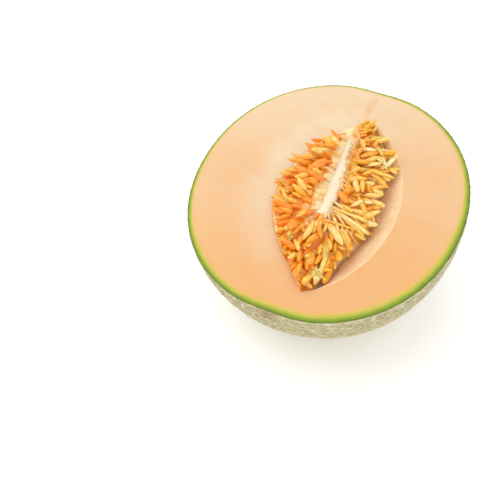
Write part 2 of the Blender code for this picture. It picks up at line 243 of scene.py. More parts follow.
def readLayer(tree, title):
    return addNode(tree, "Attribute", attribute_name=title).outputs["Fac"]


def sums(tree, operation, *values, clamp=False):
    made = addNode(tree, "Math", dict(enumerate(values)), operation=operation, use_clamp=clamp)
    return made.outputs[0]


def spots(tree, size, detail=3.0, roughness=0.55, stretch=(1, 1, 1), distortion=0.0):  # noise 0 to 1
    place = addNode(tree, "TexCoord").outputs["Object"]
    sized = addNode(tree, "Mapping", {"Vector": place, "Scale": stretch})
    made = addNode(tree, "TexNoise", {
        "Vector": sized.outputs[0], "Scale": 1 / size, "Detail": detail,
        "Roughness": roughness, "Distortion": distortion,
    })
    return made.outputs["Fac"]


def ramp(tree, share, stops):
    made = addNode(tree, "ValToRGB", {"Fac": share})
    made.color_ramp.interpolation = "EASE"
    while len(made.color_ramp.elements) < len(stops):
        made.color_ramp.elements.new(0.5)
    for element, (place, colour) in zip(made.color_ramp.elements, stops):
        element.position = place
        element.color = linear(*colour)
    return made.outputs["Color"]


def blendColours(tree, share, *colours):
    made = addNode(tree, "Mix", data_type="RGBA")
    for place, value in zip((0, 6, 7), (share, *colours)):
        if isinstance(value, bpy.types.NodeSocket):
            tree.links.new(value, made.inputs[place])
        else:
            made.inputs[place].default_value = value if isinstance(value, float) else linear(*value)
    return made.outputs[2]


def spread(tree, value, fromLow, fromHigh, low=0.0, high=1.0):
    made = addNode(tree, "MapRange", {
        "Value": value, "From Min": fromLow, "From Max": fromHigh, "To Min": low, "To Max": high,
    })
    return made.outputs[0]


def paint(tree, shader, colour, *reliefs):  # each relief is a height, its distance and its strength
    tree.links.new(colour, shader.inputs["Base Color"])
    before = {}
    for height, distance, strength in reliefs:
        inputs = {"Height": height, "Distance": distance, "Strength": strength, **before}
        before = {"Normal": addNode(tree, "Bump", inputs).outputs[0]}
    tree.links.new(before["Normal"], shader.inputs["Normal"])


# Coloured by a layer of the mesh, mottled, under a wet coat. A finish is roughness,
# specular level, glow and how deep it reaches, and the coat with its roughness.
def makeWetLook(name, layer, wet):
    roughness, specular, glow, glowReach, coat, coatRoughness = wet["finish"]
    look, tree, shader = startLook(
        name, Roughness=roughness, Specular_IOR_Level=specular, Subsurface_Weight=glow,
        Subsurface_Radius=glowReach, Subsurface_Scale=1.0, Coat_Weight=coat, Coat_Roughness=coatRoughness,
    )
    mottle = spots(tree, *wet["mottle"])
    mottled = spread(tree, mottle, 0.3, 0.7, -wet["mottled"], wet["mottled"])
    colour = ramp(tree, sums(tree, "ADD", readLayer(tree, layer), mottled), wet["colours"])
    if "rootColour" in wet:
        colour = blendColours(tree, spread(tree, readLayer(tree, "run"), 0.0, 0.45, 0.5, 0.0), colour,
                              wet["rootColour"])
    reliefs = [(spots(tree, *wet["grain"]), *wet["grainRelief"])]
    if "mottleRelief" in wet:
        reliefs.append((mottle, *wet["mottleRelief"]))
    paint(tree, shader, colour, *reliefs)
    return look


# Camera, floor and light

def addCamera():
    data = bpy.data.cameras.new("camera")
    data.lens = cameraView["lens"]
    data.clip_start = 0.01
    camera = placed("camera", data)
    turn, rise = cameraView["azimuth"], cameraView["elevation"]
    back = Vector((sin(turn) * cos(rise), -cos(turn) * cos(rise), sin(rise)))
    aimed = back.to_track_quat("Z", "Y").to_matrix().to_4x4() @ Matrix.Rotation(cameraView["roll"], 4, "Z")
    place = Vector(cameraView["aim"]) + back * cameraView["distance"]
    camera.matrix_world = Matrix.Translation(place) @ aimed
    bpy.context.scene.camera = camera


addCamera()

studio = {
    "floorSize": 40.0,  # large enough that its far edge stays out of sight
    "floorColour": (0.96, 0.96, 0.96, 1),
    "floorGlow": 0.22,  # a little light of its own, as over a lit table
    "worldColour": (1.0, 1.0, 1.0, 1),
    "worldStrength": 0.86,
    "lights": [  # name, place, size, power and colour
        ("keyLight", (-0.62, 0.10, 1.25), 1.8, 9.0, (1.0, 0.985, 0.96)),
        ("fillLight", (0.9, -0.9, 0.7), 1.0, 3.0, (1.0, 0.99, 0.98)),
    ],
    "lightAim": (0, 0, 0.05),
}


def addSoftbox(name, place, size, power, colour):
    data = bpy.data.lights.new(name, "AREA")
    data.size = size
    data.energy = power
    data.color = colour
    aim = Vector(studio["lightAim"]) - Vector(place)
    aimed = aim.to_track_quat("-Z", "Y").to_matrix().to_4x4()
    placed(name, data).matrix_world = Matrix.Translation(place) @ aimed


def addStudio():
    half = studio["floorSize"] / 2
    corners = [(-half, -half, 0), (half, -half, 0), (half, half, 0), (-half, half, 0)]
    mesh = bpy.data.meshes.new("floor")
    mesh.from_pydata(corners, [], [(0, 1, 2, 3)])
    colour = studio["floorColour"]
    mesh.materials.append(startLook(
        "paleFloor", Base_Color=colour, Roughness=0.6, Specular_IOR_Level=0.1, Emission_Color=colour,
        Emission_Strength=studio["floorGlow"],
    )[0])
    floor = placed("floor", mesh)
    world = bpy.data.worlds.new("softRoom")
    world.use_nodes = True
    world.node_tree.nodes["Background"].inputs["Color"].default_value = studio["worldColour"]
    world.node_tree.nodes["Background"].inputs["Strength"].default_value = studio["worldStrength"]
    bpy.context.scene.world = world
    for light in studio["lights"]:
        addSoftbox(*light)
    bpy.context.scene.view_settings.view_transform = "Standard"


addStudio()
print("camera, floor and light are in place")

# The cut surface, one look for the rind's edge and the flesh, so that no seam shows

cutColours = {  # as in a colour picker, 0 to 255
    "bands": [  # from the skin's dark line through green and yellow to the flesh
        (0.0, (60, 76, 4)), (0.09, (104, 132, 8)), (0.20, (138, 158, 28)), (0.32, (182, 182, 62)),
        (0.44, (216, 180, 84)), (0.62, (228, 169, 106)), (1.0, (229, 174, 113)),
    ],
    "cream": (230, 208, 175),
    "wall": (247, 207, 156),  # the cavity's pale flesh, this and the next painted brighter against the shade that falls there
    "wallPaleBrightened": (255, 231, 196),
    "vein": (226, 158, 98),
}

paleFleshAndLight = {  # of the cut face, from 0 to 1: its own paler tone at the stem end and round the cavity, and painted light falling from the upper left
    "low": 0.05,  # at the lower right
    "side": 0.29,  # how much more at the sides
    "top": 0.42,  # and more at the stem end
    "halo": 0.62,  # round the cavity's left
    "haloReach": 0.60,  # share of the way out to the skin
}

greenBand = {  # the green layer is thin at the upper left and thick at the lower right
    "thin": 0.0014,
    "thick": 0.0057,
    "thickest": Vector((0.6, -0.8)),
}


def bandWidth(ways):
    share = (ways[:, 0] * greenBand["thickest"].x + ways[:, 1] * greenBand["thickest"].y + 1) / 2
    return mix(greenBand["thin"], greenBand["thick"], np.clip(share, 0, 1))


def cutLayers(points):  # what the look of the cut reads at each point
    length = np.maximum(np.linalg.norm(points, axis=1), 1e-6)
    ways = points / length[:, None]
    depth = skinReach(ways) - length
    return ways, depth, np.clip(depth / bandWidth(ways), 0, 2)


def creamAndLightAt(ways, share):  # share is of the way from the cavity out to the skin; paler towards the upper left, partly painted light
    upper = ways[:, 1] * 0.94 - ways[:, 0] * 0.35
    cream = paleFleshAndLight["low"] + paleFleshAndLight["side"] * ease(upper, -0.9, 0.1)
    cream = cream + paleFleshAndLight["top"] * ease(upper, 0.3, 1.0)
    halo = 1 - ease(share, 0.0, paleFleshAndLight["haloReach"])
    return np.clip(cream + paleFleshAndLight["halo"] * halo * ease(-ways[:, 0], -0.3, 0.5), 0, 1)


def makeCutLook():
    look, tree, shader = startLook(
        "cutMelon", Roughness=0.42, Specular_IOR_Level=0.3, Subsurface_Radius=(0.006, 0.004, 0.002),
        Coat_Weight=0.06, Coat_Roughness=0.25,
    )
    band = readLayer(tree, "band")
    cream = readLayer(tree, "cream")  # below 1 the flesh's own paleness with painted light from the upper left, from 1 to 2 it turns into the cavity's wall
    deep = spread(tree, readLayer(tree, "depth"), 1.3, 2.6, 0.0, 0.35)
    glow = sums(tree, "ADD", deep, spread(tree, cream, 1.0, 2.0, 0.0, 0.65))
    tree.links.new(glow, shader.inputs["Subsurface Weight"])
    tree.links.new(spread(tree, cream, 1.0, 2.0, 0.5, 1.2), shader.inputs["Subsurface Scale"])
    wobble = sums(tree, "MULTIPLY_ADD", spots(tree, 0.006, 4.0), 0.24, -0.12)
    wobbly = sums(tree, "MULTIPLY", sums(tree, "ADD", band, wobble), 0.5)
    flesh = ramp(tree, wobbly, cutColours["bands"])
    cloudy = sums(tree, "MULTIPLY_ADD", spots(tree, 0.022, 5.0, 0.6), 0.30, -0.15)
    # cream over the flesh, partly its own tone and partly painted light from the upper left
    paleAndLitShare = sums(tree, "ADD", cream, cloudy, clamp=True)
    paleAndLitShare = sums(tree, "MULTIPLY", paleAndLitShare, spread(tree, band, 0.75, 1.05))
    flesh = blendColours(tree, paleAndLitShare, flesh, cutColours["cream"])
    fibres = spread(tree, spots(tree, 0.0032, 5.0, 0.65, distortion=0.8), 0.35, 0.70)
    # fibrous wall colours, painted brighter against the shade in the hollow
    wall = blendColours(tree, fibres, cutColours["wall"], cutColours["wallPaleBrightened"])
    flesh = blendColours(tree, spread(tree, cream, 1.0, 2.0), flesh, wall)
    ray = addNode(tree, "CombineXYZ", {
        "X": readLayer(tree, "rayX"), "Y": readLayer(tree, "rayY"), "Z": readLayer(tree, "out"),
    })
    streaks = addNode(tree, "TexNoise", {"Vector": ray.outputs[0], "Scale": 1.0, "Detail": 5.0})
    streaky = spread(tree, streaks.outputs["Fac"], 0.42, 0.75)
    streaky = sums(tree, "MULTIPLY", streaky, readLayer(tree, "streak"))
    flesh = blendColours(tree, streaky, flesh, cutColours["vein"])
    flecks = spread(tree, spots(tree, 0.0011, 2.0, 0.5), 0.62, 0.78, 0.0, 0.22)
    flesh = blendColours(tree, flecks, flesh, cutColours["cream"])
    flesh = blendColours(tree, readLayer(tree, "vein"), flesh, cutColours["vein"])
    paint(tree, shader, flesh, (spots(tree, 0.0009), 0.00010, 0.5), (spots(tree, 0.007, 2.0), 0.0006, 0.35))
    return look


cutLook = makeCutLook()

# Rind: netted skin outside, the green edge on top, a smooth inside

rindMake = {
    "squares": 280,  # of the skin's grid, each way
    "net": (3000, 0.00095, (0.75, 1.0)),  # cells on a whole melon, a cord's half width, its strength
    "fine": (10000, 0.0006, (-0.15, 1.0)),  # where the strength is under 0, the cord is missing
    "uneven": 0.66,  # how far the cells stray, as a share of their size
    "netHeight": 0.0008,
    "fineHeight": 0.55,  # as a share of the net's
    "wander": 0.0016,  # how far the cords stray
    "wanderSize": 0.005,
    "crumbs": (0.0014, 0.12),  # size and height of the roughness on the cords
    "scarRadius": 0.0085,
    "buttonRadius": 0.0060,
    "ringWidth": 0.0014,
    "ringHeight": 0.0009,
    "ringInside": 0.2,  # how much of the net is left inside a ring
    "edgeRings": (0.0003, 0.0008, 0.0016, 0.0030),
    "edgeFade": 0.0030,  # how far below the cut the net reaches its full height
    "edgeLevel": 0.80,  # height of the smooth edge, as a share of the net's
    "insideRows": 8,
    "pitSize": 0.0026,  # of the pits between the cords, which are only painted
    "pitWander": (0.0014, 0.004),
    "seed": 7,
}


def skinGrid(squares):  # ways over the lower half, even in angle, with a square's own rows
    steps = np.linspace(-1, 1, squares + 1)
    a, b = np.meshgrid(steps, steps, indexing="ij")
    first = np.abs(a) >= np.abs(b)
    reach = np.where(first, a, b)
    safe = np.where(reach == 0, 1, reach)
    turn = np.where(first, pi / 4 * b / safe, pi / 2 - pi / 4 * a / safe)
    lift = np.sin(reach * pi / 2)
    ways = np.stack([lift * np.cos(turn), lift * np.sin(turn), -np.cos(reach * pi / 2)], axis=-1)
    ways[np.abs(reach) > 1 - 1e-9, 2] = 0
    return ways.reshape(-1, 3)


def rimOrder(squares):  # the grid's outside, once round
    last = squares
    side = range(squares)
    around = [(i, 0) for i in side] + [(last, i) for i in side]
    around += [(last - i, last) for i in side] + [(0, last - i) for i in side]
    return [i * (squares + 1) + j for i, j in around]


def evenWays(count):
    golden = pi * (3 - sqrt(5))
    y = 1 - 2 * (np.arange(count) + 0.5) / count
    ring = np.sqrt(1 - y * y)
    turn = np.arange(count) * golden
    return np.stack([ring * np.cos(turn), y, ring * np.sin(turn)], axis=1)


def cords(points, cells, halfWidth, strength, draw):  # 1 on a cord's crest, 0 between cords
    ways = evenWays(cells)
    ways = ways + rindMake["uneven"] * sqrt(4 * pi / cells) * draw.uniform(-0.5, 0.5, ways.shape)
    seats = onSkin(ways / np.linalg.norm(ways, axis=1)[:, None])
    tree = kdtree.KDTree(len(seats))
    for i, seat in enumerate(seats):
        tree.insert(seat, i)
    tree.balance()
    strengths = np.maximum(draw.uniform(*strength, 4096), 0)  # each cord takes one by its two cells
    crest = np.zeros(len(points))
    for i, point in enumerate(points):
        (one, a, near), (two, b, far) = tree.find_n(point, 2)
        away = (far * far - near * near) / (2 * (one - two).length)
        own = strengths[(min(a, b) * 131 + max(a, b) * 977) % len(strengths)]
        crest[i] = own * max(0.0, 1 - (away / halfWidth) ** 2) ** 1.5
    return crest


def ringMark(ways, end, radius):  # a corky ring round one end
    spot = onSkin(ways)
    away = np.hypot(spot[:, 0], spot[:, 2])
    near = np.where(ways[:, 1] * end > 0, 1.0, 0.0)
    ring = near * np.exp(-(((away - radius) / rindMake["ringWidth"]) ** 2))
    inside = near * (1 - ease(away, 0.8 * radius, 1.1 * radius))
    return ring, inside


skinColours = {
    "ground": [(0.32, (122, 124, 70)), (0.52, (168, 174, 118)), (0.72, (196, 200, 152))],  # between the cords
    "fill": (166, 164, 112),  # thin crust over the ground
    "crust": [(0.28, (170, 156, 118)), (0.5, (207, 195, 158)), (0.75, (234, 226, 200))],
    "speck": (142, 122, 88),
    "cork": [(0.3, (150, 124, 88)), (0.7, (198, 176, 138))],
}


def pitted(tree):  # distance from the edges of cells, wavering a little
    wander, wanderSize = rindMake["pitWander"]
    place = addNode(tree, "TexCoord").outputs["Object"]
    waver = addNode(tree, "TexNoise", {"Vector": place, "Scale": 1 / wanderSize, "Detail": 3.0})
    inputs = {0: waver.outputs["Color"], 1: (wander,) * 3, 2: place}
    bent = addNode(tree, "VectorMath", inputs, operation="MULTIPLY_ADD")
    inputs = {"Vector": bent.outputs[0], "Scale": 1 / rindMake["pitSize"]}
    return addNode(tree, "TexVoronoi", inputs, feature="DISTANCE_TO_EDGE").outputs["Distance"]


def makeSkinLook():
    look, tree, shader = startLook("nettedSkin", Roughness=0.78, Specular_IOR_Level=0.25)
    ground = ramp(tree, spots(tree, 0.014, 4.0, 0.6), skinColours["ground"])
    crust = ramp(tree, spots(tree, 0.0045, 5.0, 0.65), skinColours["crust"])
    specks = spread(tree, spots(tree, 0.0009, 3.0, 0.6), 0.52, 0.75, 0.0, 0.45)
    crust = blendColours(tree, specks, crust, skinColours["speck"])
    frayed = sums(tree, "MULTIPLY", spots(tree, 0.0009), 0.3)
    cord = spread(tree, sums(tree, "ADD", readLayer(tree, "net"), frayed), 0.30, 0.62)
    patches = spread(tree, spots(tree, 0.016, 4.0, 0.6), 0.34, 0.60, 0.35, 1.0)
    pits = sums(tree, "MULTIPLY", spread(tree, pitted(tree), 0.05, 0.22), patches)
    filled = sums(tree, "SUBTRACT", 1.0, pits)
    thinCrust = blendColours(tree, 0.55, crust, skinColours["fill"])
    colour = blendColours(tree, cord, blendColours(tree, filled, ground, thinCrust), crust)
    corky = ramp(tree, spots(tree, 0.002, 4.0), skinColours["cork"])
    colour = blendColours(tree, readLayer(tree, "cork"), colour, corky)
    height = sums(tree, "ADD", cord, sums(tree, "MULTIPLY", filled, 0.5))
    cracks = sums(tree, "MULTIPLY", spots(tree, 0.0006, 4.0, 0.7), height)
    cracked = sums(tree, "ADD", cracks, height)
    paint(tree, shader, colour, (cracked, 0.00030, 0.9), (spots(tree, 0.0016), 0.0002, 0.6))
    return look


def makeRind():
    make = rindMake
    draw = np.random.default_rng(make["seed"])
    noise.seed_set(make["seed"])  # so that the cords stray alike in each run
    ways = skinGrid(make["squares"])
    skin = onSkin(ways)
    wavering = strayed(skin, make["wanderSize"], make["wander"])
    net = cords(wavering, *make["net"], draw)
    fine = cords(wavering, *make["fine"], draw)
    scar, inScar = ringMark(ways, 1, make["scarRadius"])
    button, inButton = ringMark(ways, -1, make["buttonRadius"])
    marks, inside = np.maximum(scar, button), np.maximum(inScar, inButton)
    crest = np.maximum(net, make["fineHeight"] * fine) * mix(1, make["ringInside"], inside)
    crest = np.maximum(crest, marks)
    low = ease(-skin[:, 2], 0, make["edgeFade"])
    marks = marks * low
    crest = mix(make["edgeLevel"], crest, mix(0.2, 1, low))
    crumbSize, crumbHeight = make["crumbs"]
    out = make["netHeight"] * (crest - 1 + lumps(skin, crumbSize) * crumbHeight * crest)
    skin = skin + ways * (out + make["ringHeight"] * marks)[:, None]
    rim = rimOrder(make["squares"])
    around = len(rim)
    toRim = np.linalg.norm(skin[rim], axis=1)
    rows = [skin[rim] * (1 - inset / toRim)[:, None] for inset in make["edgeRings"]]
    inner, bottom = bowl(ways[rim], make["insideRows"])
    rows += inner
    points = np.concatenate([skin, *rows, bottom])
    faces = gridFaces(make["squares"] + 1, make["squares"] + 1, closed=False)
    skinFaces = len(faces)
    starts = [len(skin) + i * around for i in range(len(rows))]
    rings = [rim] + [range(start, start + around) for start in starts]
    for outer, inner in zip(rings, rings[1:]):
        for j in range(around):
            k = (j + 1) % around
            faces.append((outer[k], outer[j], inner[j], inner[k]))
    for j in range(around):
        faces.append((rings[-1][(j + 1) % around], rings[-1][j], len(points) - 1))
    outWays, _, band = cutLayers(points)
    blank = np.zeros(len(points) - len(skin))
    rind = makePiece("melonRind", points, faces, "rind", [makeSkinLook(), cutLook], {
        "net": np.append(crest, blank),
        "cork": np.append(np.maximum(inside * 0.8, marks), blank),
        "band": band,
        "cream": creamAndLightAt(outWays, 1.0),
    })
    flattenUnderside(rind)
    isCut = np.arange(len(faces)) >= skinFaces
    rind.data.polygons.foreach_set("material_index", isCut.astype(np.int32))
    sharpenRings(rind, [set(rim), set(rings[len(make["edgeRings"]) + 1])])


def flattenUnderside(piece):
    for vertex in piece.data.vertices:
        if vertex.co.z < 0:
            vertex.co.z = 0


def sharpenRings(piece, rings):
    flags = piece.data.attributes.new("sharp_edge", "BOOLEAN", "EDGE")
    ends = [tuple(edge.vertices) for edge in piece.data.edges]
    flags.data.foreach_set("value", [any(a in ring and b in ring for ring in rings) for a, b in ends])


makeRind()
print("the rind is made")

# Flesh: the flat cut face, the cavity's wall, and the round back that the rind holds

fleshMake = {
    "around": 560,
    "faceRows": 46,
    "wallRows": 26,
    "backRows": 10,
    "lip": 0.0004,  # rounding where the face turns into the cavity
    "veinLine": [(-0.0006, 0.079), (-0.0013, 0.067), (-0.0014, 0.061), (-0.0010, 0.0548)],
    "veinWidth": 0.0022,
    "veinStrength": 0.34,
    "rays": (10, 1.6),  # how fine the faint rays are, round the cavity and outwards
    "rayStrength": 0.20,
    "ripple": 0.00045,  # height of the unevenness of the cavity's wall
    "rippleSize": 0.006,
}


def lineDistance(points, line):  # distance from a line of points, and the share of the way along it
    best = np.full(len(points), 9.0)
    share = np.zeros(len(points))
    for i, (start, end) in enumerate(zip(line, line[1:])):
        start, end = np.array(start), np.array(end)
        run = end - start
        t = np.clip((points[:, :2] - start) @ run / (run @ run), 0, 1)
        away = np.linalg.norm(points[:, :2] - start - t[:, None] * run, axis=1)
        closer = away < best
        best[closer] = away[closer]
        share[closer] = (i + t[closer]) / (len(line) - 1)
    return best, share


def makeFlesh():
    make = fleshMake
    columns = make["around"]
    turns = np.linspace(0, 2 * pi, columns, endpoint=False)
    edge = list(zip(np.cos(turns), np.sign(np.sin(turns))))  # along and side of each point of the cavity's
    inner = np.array([cavityPoint(a, s * cavityEdge(a, s), 0) for a, s in edge])
    outWays = np.stack([np.sin(turns - cavity["turn"]), np.cos(turns - cavity["turn"]), 0 * turns], axis=1)
    outward = onSkin(outWays, melon["seam"]) - inner
    shares = (1 - np.linspace(0, 1, make["faceRows"]) ** 0.8)[:-1]
    rows = [inner + outward * share for share in shares]
    outward = outward / np.linalg.norm(outward, axis=1)[:, None]
    rows.append(inner + outward * make["lip"])
    rows.append(inner + outward * make["lip"] * 0.3 - np.array([0, 0, 0.3 * make["lip"]]))
    for i in range(1, make["wallRows"] + 1):
        lift = pi / 2 * i / make["wallRows"]
        row = []
        for a, s in edge:
            across = s * cos(lift)
            row.append(cavityPoint(a, across * cavityEdge(a, s), -cavityDepth(a) * cavityDrop(across)))
        row = np.array(row)
        row[:, 2] += lumps(row, make["rippleSize"], 3.0) * make["ripple"] * sin(lift)
        rows.append(row)
    back, bottom = bowl(outWays, make["backRows"], melon["clearance"])
    rows = back[:0:-1] + rows
    shares = np.append(np.ones(len(back) - 1), shares)
    shares = np.append(shares, np.zeros(len(rows) - len(shares)))
    share = np.append(np.repeat(shares, columns), 1)
    points = np.concatenate(rows + [bottom])
    faces = gridFaces(len(rows), columns)
    faces += [(j, len(points) - 1, (j + 1) % columns) for j in range(columns)]
    ways, depth, band = cutLayers(points)
    below = points[:, 2] < -1e-4
    away, run = lineDistance(points, make["veinLine"])
    strength = make["veinStrength"] * ease(run, -0.1, 0.15) * (1 - ease(run, 0.7, 1.0))
    rayX, rayY = (np.tile(make["rays"][0] * way, len(rows)) for way in (np.cos(turns), np.sin(turns)))
    flesh = makePiece("melonFlesh", points, faces, "flesh", [cutLook], {
        "band": np.where(np.abs(points[:, 2]) < 1e-4, band, 2.0),
        "depth": depth / melon["seam"],
        "cream": np.where(below & (share < 0.5), 2, creamAndLightAt(ways, share)),
        "vein": strength * np.exp(-((away / make["veinWidth"]) ** 2)) * ~below,
        "rayX": np.append(rayX, 0),
        "rayY": np.append(rayY, 0),
        "out": make["rays"][1] * share,
        "streak": make["rayStrength"] * (1 - ease(share, 0.55, 0.98)) * ~below,
    }, sharp=radians(50))
    weld = bmesh.new()
    weld.from_mesh(flesh.data)
    bmesh.ops.remove_doubles(weld, verts=weld.verts[:], dist=1e-6)
    bmesh.ops.recalc_face_normals(weld, faces=weld.faces[:])
    weld.to_mesh(flesh.data)
    weld.free()


makeFlesh()
print("the flesh is made")

# Ridge: the cream placenta down the middle, which the seeds grew on

ridgeMake = {
    "line": [(-0.0042, 0.045), (-0.0031, 0.035), (-0.0003, 0.016), (0.0017, 0.000), (0.0012, -0.012)],
    "halfWidths": [0.0010, 0.0023, 0.0032, 0.0034, 0.0048],
    "overrun": (0.002, 0.004),  # past the line's upper and lower ends
    "top": 0.0005,
    "bottom": -0.0045,
    "rows": 130,
    "columns": 30,
    "lumpSize": 0.0055,
    "lumps": 0.36,  # how much its width swells and shrinks
    "frill": 0.0011,  # small folds on its sides
    "frillSize": 0.0016,
    "roundOver": (0.10, 0.14),  # shares of its length that round off at its ends
    "skirt": 0.25,  # how much wider it is below
    "finish": (0.38, 0.45, 0.5, (0.0030, 0.0022, 0.0014), 0.25, 0.2),
    "colours": [
        (0.0, (250, 180, 90)), (0.35, (251, 204, 138)), (0.65, (250, 220, 178)), (1.0, (250, 230, 200)),
    ],
    "mottle": (0.004, 4.0, 0.6, (2.4, 0.5, 1.0), 0.4),  # streaks along it
    "mottled": 0.22,
    "mottleRelief": (0.0008, 0.5),
    "grain": (0.0007, 3.0, 0.55, (1.6, 0.5, 1.0)),
    "grainRelief": (0.0002, 0.6),
}


def ridgeAt(share):  # its centre and half width, share of the way down
    line, halfWidths = ridgeMake["line"], ridgeMake["halfWidths"]
    place = min(max(share, 0), 1) * (len(line) - 1)
    i = min(int(place), len(line) - 2)
    within = ease(place - i)
    x = mix(line[i][0], line[i + 1][0], within)
    y = mix(line[i][1], line[i + 1][1], place - i)
    return Vector((x, y, 0)), mix(halfWidths[i], halfWidths[i + 1], within)


def nearestOnRidge(point):
    found = [ridgeAt(i / 26) for i in range(27)]
    flat = Vector((point.x, point.y, 0))
    return min(found, key=lambda place: (place[0] - flat).length)


def makeRidge():
    make = ridgeMake
    points, heights = [], []
    above, below = make["overrun"]
    roundTop, roundLow = make["roundOver"]
    middle = 0.5 * (make["top"] + make["bottom"])
    tall = 0.5 * (make["top"] - make["bottom"])
    for i in range(make["rows"]):
        share = i / (make["rows"] - 1)
        centre, halfWidth = ridgeAt(share)
        ends = min(share / roundTop, (1 - share) / roundLow, 1)
        ends = sqrt(max(1 - (1 - ends) ** 2, 0.0))
        centre.y += mix(above, -below, share)
        swell = 1 + make["lumps"] * noise.noise(centre / make["lumpSize"])
        wide = halfWidth * swell * max(ends, 0.02)
        for j in range(make["columns"]):
            turn = 2 * pi * (j + 0.5) / make["columns"]
            lift = sin(turn)
            skirt = 1 + make["skirt"] * max(-lift, 0)
            spot = centre + Vector((wide * skirt * cos(turn), 0, middle + tall * max(ends, 0.05) * lift))
            fold = noise.noise(Vector((spot.x, spot.y * 1.6, spot.z * 0.6)) / make["frillSize"])
            points.append(spot + Vector((cos(turn), 0, 0.6 * lift)) * make["frill"] * fold * ends)
            heights.append(0.5 + 0.5 * lift)
    points.append(ridgeAt(0)[0] + Vector((0, above + 0.0004, middle)))
    points.append(ridgeAt(1)[0] - Vector((0, below + 0.0004, -middle)))
    look = makeWetLook("creamPlacenta", "height", make)
    faces = closedTube(make["rows"], make["columns"])
    makePiece("placentaRidge", points, faces, "placenta", [look], {"height": heights + [0.3, 0.3]})


makeRidge()
print("the ridge is made")

# Pulp: the wet orange bed that the seeds stand in

pulpMake = {
    "left": 0.0003,  # height along the left edge, from the cut face
    "middle": -0.0034,  # beside the ridge
    "crown": 0.0036,  # how far it swells between the ridge and the left edge
    "rightTop": -0.0025,
    "rightLow": -0.0095,
    "step": (-0.6, 0.5),  # where along the cavity the right side rises
    "tipHeight": -0.0030,  # at the right of the lower tip
    "tipRise": (0.65, 0.95),
    "reach": (0.46, 0.63, 0.90),  # how far right it goes: low, in the middle and high up
    "reachSteps": ((-0.50, -0.20), (0.25, 0.60)),
    "sunk": 0.0006,  # how far it lies under the seeds' roots
    "gap": -0.0002,  # it clings to the wall
    "feather": 0.30,  # share of the half width over which it thins out to the right
    "short": 0.06,  # share of the half width by which it stops short of the seeds
    "paleReach": 0.0065,  # how far it is pale beside the ridge
    "tip": 0.985,
    "rows": 170,
    "topColumns": 96,
    "floorColumns": 26,
    "lumpSize": 0.0036,
    "lumpHeight": 0.0013,
    "fineSize": 0.0012,
    "fineHeight": 0.0004,
    "brim": (0.86, 0.97),  # where it pales towards the left edge
    "pale": {"all": 0.42, "lump": 0.5, "fine": 0.3, "ridge": 0.6, "thin": 0.6, "brim": 0.45},
    "finish": (0.30, 0.5, 0.6, (0.0025, 0.0014, 0.0006), 0.45, 0.12),
    "colours": [(0.0, (252, 136, 18)), (0.45, (254, 158, 40)), (0.8, (254, 192, 98)), (1.0, (254, 222, 168))],
    "mottle": (0.003, 4.0),
    "mottled": 0.2,
    "grain": (0.0008, 4.0, 0.6),
    "grainRelief": (0.0003, 0.7),
}


def rightLimit(along):
    low, middle, high = pulpMake["reach"]
    first, second = pulpMake["reachSteps"]
    return low + (middle - low) * ease(along, *first) + (high - middle) * ease(along, *second)


def pulpHeight(along, across):
    make = pulpMake
    if across < 0:
        swell = make["crown"] * sin(pi * min(-across, 1))
        return mix(make["middle"], make["left"], -across) + swell
    right = mix(make["rightLow"], make["rightTop"], ease(along, *make["step"]))
    right = mix(right, make["tipHeight"], ease(-along, *make["tipRise"]))
    return mix(make["middle"], right, ease(across / rightLimit(along)))


def pulpUnder(spot, leftmost=0.95):
    along, across, _ = cavityPlace(spot)
    return pulpHeight(along, min(max(across, -leftmost), rightLimit(along)))


def pulpSpot(along, across, height):
    return cavityPoint(along, (cavityEdge(along, across) - pulpMake["gap"]) * across, height)


def makePulp():
    make, pale = pulpMake, pulpMake["pale"]
    points, heights = [], []
    for i in range(make["rows"]):
        along = -cos(pi * (i + 1) / (make["rows"] + 1)) * make["tip"]
        depth = cavityDepth(along) - make["gap"]
        limit = rightLimit(along)
        left = -wallAcross(-1, -make["left"] / depth)
        right = min(limit, wallAcross(1, -pulpHeight(along, limit) / depth))
        for j in range(make["floorColumns"]):
            across = cos(mix(acos(left), acos(right), j / (make["floorColumns"] - 1)))
            points.append(pulpSpot(along, across, -depth * cavityDrop(across)))
            heights.append(0.0)
        for j in range(1, make["topColumns"]):
            place = j / make["topColumns"]
            across = mix(right, left, place)
            floor = -depth * cavityDrop(across)
            spot = pulpSpot(along, across, 0)
            lump = noise.noise(spot / make["lumpSize"])
            fine = noise.noise(spot / make["fineSize"] + Vector((5, 5, 5)))
            inner = min(min(place, 1 - place) * make["topColumns"] / 6, 1)
            lift = inner * (make["lumpHeight"] * lump + make["fineHeight"] * fine - make["sunk"])
            height = max(pulpHeight(along, across) + lift, 0.8 * floor)
            end = limit - make["short"]
            thin = ease(across, end - make["feather"], end)
            points.append(pulpSpot(along, across, mix(height, min(height, 0.98 * floor), thin)))
            centre, halfWidth = nearestOnRidge(spot)
            fromRidge = max((spot - centre).length - halfWidth, 0)
            # paler where it thins out to the right: a thin film over pale flesh, and painted light against
            # the shade at the wall's foot
            tone = pale["all"] + pale["lump"] * lump + pale["fine"] * fine + pale["thin"] * thin
            tone += pale["ridge"] * exp(-((fromRidge / make["paleReach"]) ** 2))
            heights.append(tone + pale["brim"] * ease(-across, *make["brim"]))
    points += [cavityPoint(end * (make["tip"] + 0.004), 0, -0.002) for end in (-1, 1)]
    faces = closedTube(make["rows"], make["floorColumns"] + make["topColumns"] - 1)
    look = makeWetLook("wetPulp", "height", make)
    makePiece("pulpBed", points, faces, "seeds", [look], {"height": heights + [0.4, 0.4]})


makePulp()
print("the pulp is made")

# Seeds: each a teardrop in its own film of pulp, standing out from the ridge

